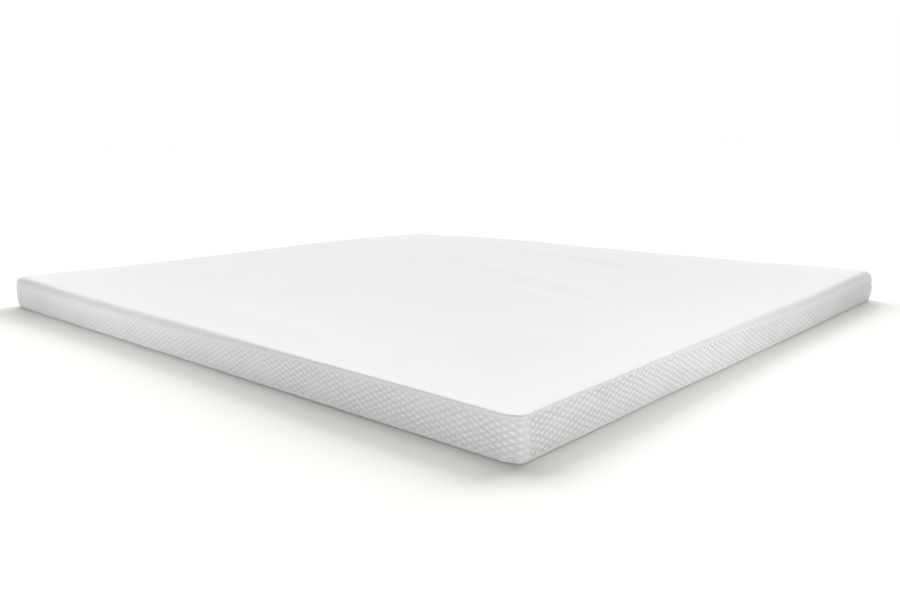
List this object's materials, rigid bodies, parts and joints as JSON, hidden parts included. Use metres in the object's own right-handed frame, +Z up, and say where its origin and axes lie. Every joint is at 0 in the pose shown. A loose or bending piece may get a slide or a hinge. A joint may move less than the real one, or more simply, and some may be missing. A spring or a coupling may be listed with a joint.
{
  "type": "padded mattress protector",
  "caption": "Flat padded mattress protector: a crowned, filled knit pad with rounded edges and a knitted side band sewn round it, seamed upright at its corners.",
  "frame": {"origin": "middle of the underside, on the surface the protector lies on", "axes": "+Z up, X along the length, Y across the width"},
  "size_m": [2, 1.8, 0.0931],
  "materials": {
    "panel_knit": "matt white stretch knit, nearly smooth",
    "band_knit": "matt white stretch knit with raised diamonds"
  },
  "bodies": {
    "root": {"pad": "panel_knit", "band_front": "band_knit", "band_right": "band_knit", "band_back": "band_knit", "band_left": "band_knit"}
  },
  "joints": []
}
